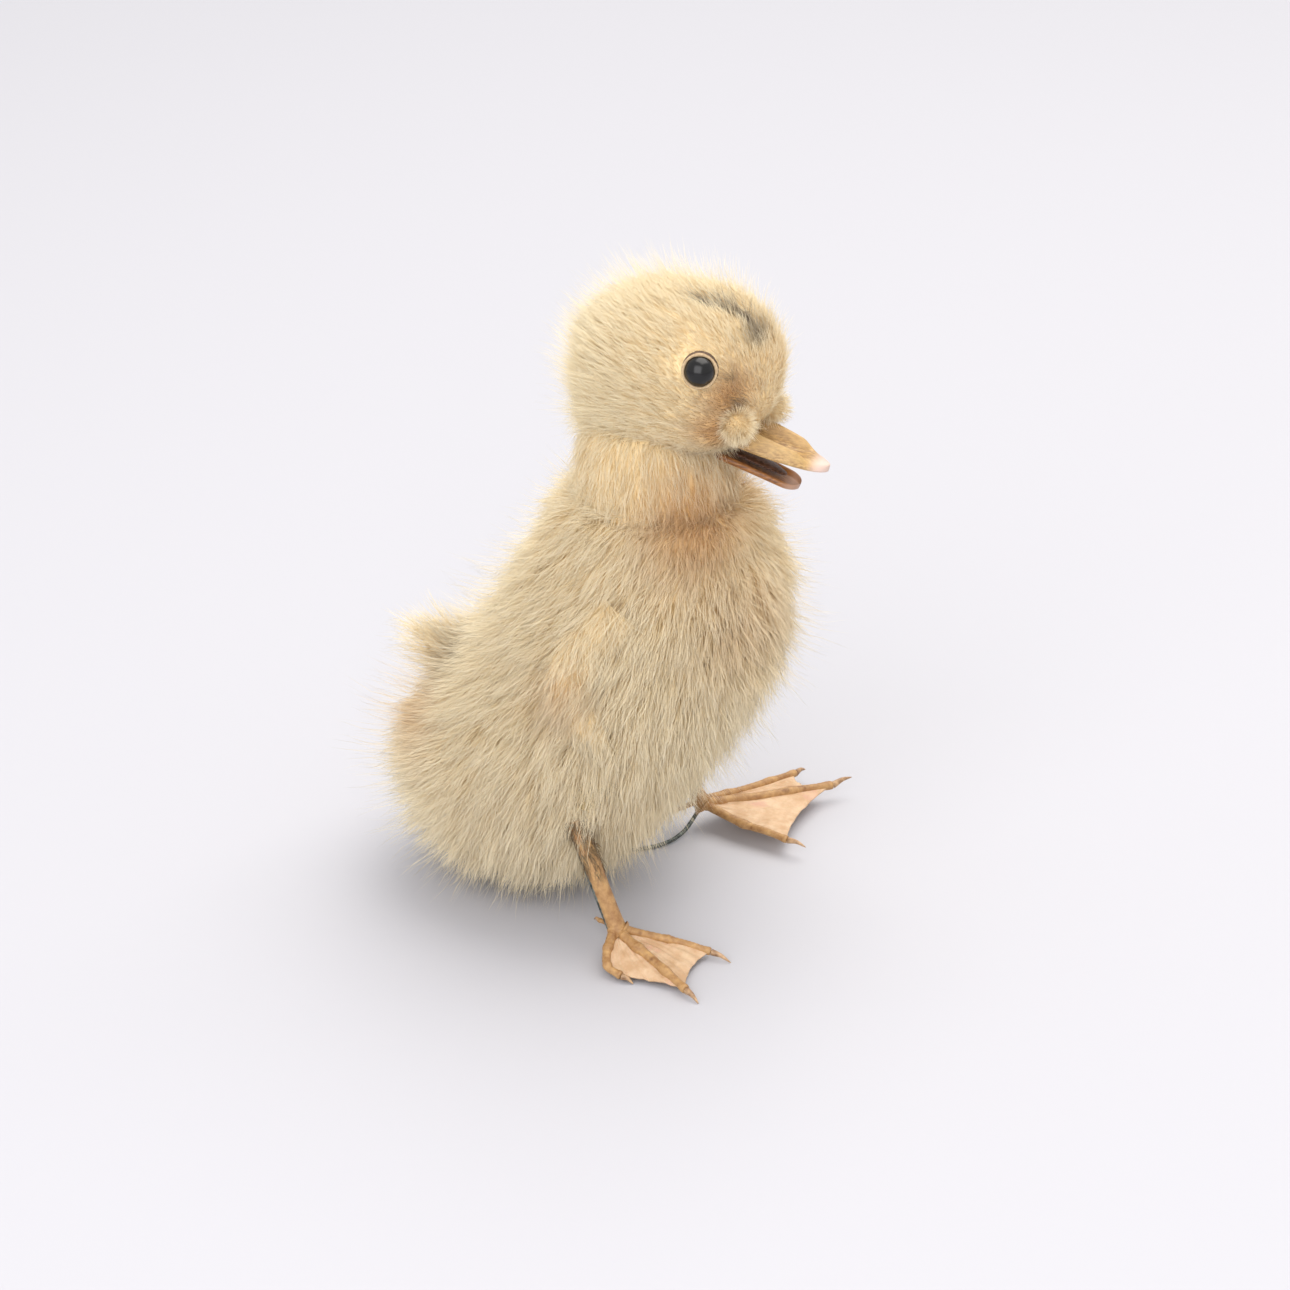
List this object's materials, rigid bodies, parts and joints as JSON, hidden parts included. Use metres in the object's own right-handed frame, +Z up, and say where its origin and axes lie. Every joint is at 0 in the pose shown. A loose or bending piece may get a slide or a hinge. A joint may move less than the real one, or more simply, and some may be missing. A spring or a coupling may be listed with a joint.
{
  "type": "taxidermy duckling mount",
  "caption": "Small natural-history mount of a standing duckling in pale down, with dried bill and webbed feet, a glass eye on each side and a bendable armature wire.",
  "frame": {"origin": "on the floor under the middle of the object's box", "axes": "+Z up, +X the way the duckling faces, +Y its left side"},
  "size_m": [0.0833, 0.0864, 0.1224],
  "materials": {
    "wood_wool": "matte",
    "down": "matte",
    "linen_thread": "matte",
    "galvanised_wire": "satin",
    "steel_pin": "satin",
    "tow": "matte",
    "bone": "matte",
    "clay": "matte",
    "black_glass": "gloss",
    "dried_skin": "matte",
    "felted_skin": "matte",
    "dried_bill": "satin",
    "bill_nail_horn": "satin",
    "dried_tongue": "satin",
    "scaled_skin": "satin",
    "web_skin": "satin",
    "claw_horn": "satin"
  },
  "bodies": {
    "torso": {"body_form": "wood_wool", "body_skin": "down", "belly_stitches": "linen_thread", "neck_wire_root": "galvanised_wire", "tail_wire": "galvanised_wire", "tail_tuft": "down", "left_wing": "down", "left_wing_pin": "steel_pin", "left_thigh_wire": "galvanised_wire", "left_thigh_wrap": "tow", "left_shin_bone": "bone", "right_wing": "down", "right_wing_pin": "steel_pin", "right_thigh_wire": "galvanised_wire", "right_thigh_wrap": "tow", "right_shin_bone": "bone"},
    "neck": {"neck_wire_middle": "galvanised_wire", "neck_wrap": "tow", "neck_skin": "down"},
    "head": {"neck_wire_tip": "galvanised_wire", "skull": "bone", "skull_fill": "tow", "upper_bill": "dried_bill", "bill_nail": "bill_nail_horn", "lower_bill": "dried_bill", "tongue": "dried_tongue", "throat_patch": "felted_skin", "head_skin": "down", "left_eye": "black_glass", "left_eye_bed": "clay", "left_eyelid": "dried_skin", "right_eye": "black_glass", "right_eye_bed": "clay", "right_eyelid": "dried_skin"},
    "left_leg": {"left_leg_wire": "galvanised_wire", "left_shank": "scaled_skin", "left_inner_toe": "scaled_skin", "left_middle_toe": "scaled_skin", "left_outer_toe": "scaled_skin", "left_hind_toe": "scaled_skin", "left_claws": "claw_horn", "left_web": "web_skin"},
    "right_leg": {"right_leg_wire": "galvanised_wire", "right_shank": "scaled_skin", "right_inner_toe": "scaled_skin", "right_middle_toe": "scaled_skin", "right_outer_toe": "scaled_skin", "right_hind_toe": "scaled_skin", "right_claws": "claw_horn", "right_web": "web_skin"},
    "left_wire_end": {"left_wire_tail": "galvanised_wire"}
  },
  "joints": [
    {"name": "neck_turn", "type": "hinge", "parent": "torso", "child": "neck", "pos_m": [0.0095, -0.00543, 0.076], "axis": [0, 0, 1], "range_deg": [-20, 20]},
    {"name": "head_nod", "type": "hinge", "parent": "neck", "child": "head", "pos_m": [0.0095, -0.00543, 0.08], "axis": [0, 1, 0], "range_deg": [-8, 8]},
    {"name": "left_hock_bend", "type": "hinge", "parent": "torso", "child": "left_leg", "pos_m": [0.0011, 0.01537, 0.024], "axis": [0, 1, 0], "range_deg": [-8, 8]},
    {"name": "right_hock_bend", "type": "hinge", "parent": "torso", "child": "right_leg", "pos_m": [0.0011, -0.02623, 0.024], "axis": [0, 1, 0], "range_deg": [-8, 8]},
    {"name": "left_wire_bend", "type": "hinge", "parent": "left_leg", "child": "left_wire_end", "pos_m": [0.0096, 0.01747, 0.0029], "axis": [0.9683, -0.2499, 0], "range_deg": [0, 90]}
  ]
}
